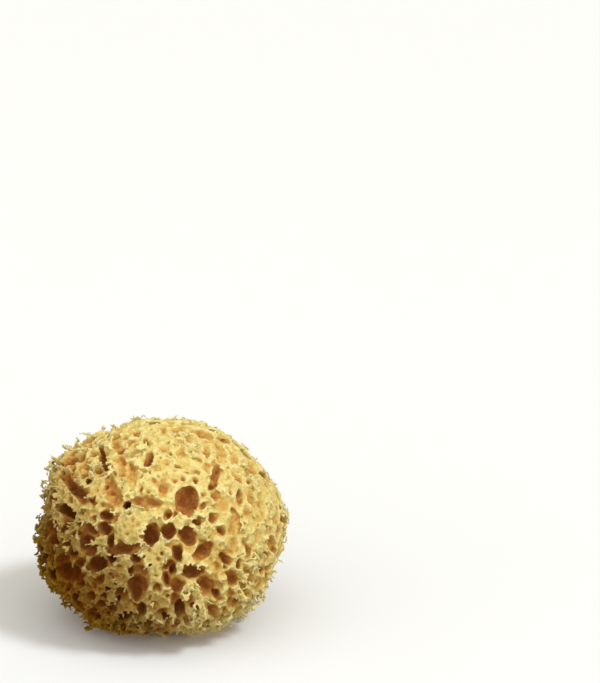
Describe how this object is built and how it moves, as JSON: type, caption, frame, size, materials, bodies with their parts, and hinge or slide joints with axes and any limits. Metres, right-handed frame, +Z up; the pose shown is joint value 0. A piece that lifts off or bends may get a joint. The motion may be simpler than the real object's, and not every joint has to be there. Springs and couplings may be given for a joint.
{
  "type": "sea sponge",
  "caption": "Dried natural honeycomb bath sponge: a rounded, springy mass full of smooth-walled pits with thin spikes on their rims, cut flat underneath.",
  "frame": {"origin": "centre of the bounding box in plan, on the plane of the flat cut base", "axes": "+Z up from the cut base; the face in the picture looks towards -Y, and +X is to its right"},
  "size_m": [0.1154, 0.1102, 0.0952],
  "materials": {
    "sponge_fibre": "matt dried sponge fibre, straw yellow on the rims and rust brown in the pits"
  },
  "bodies": {
    "root": {"sponge": "sponge_fibre"}
  },
  "joints": []
}
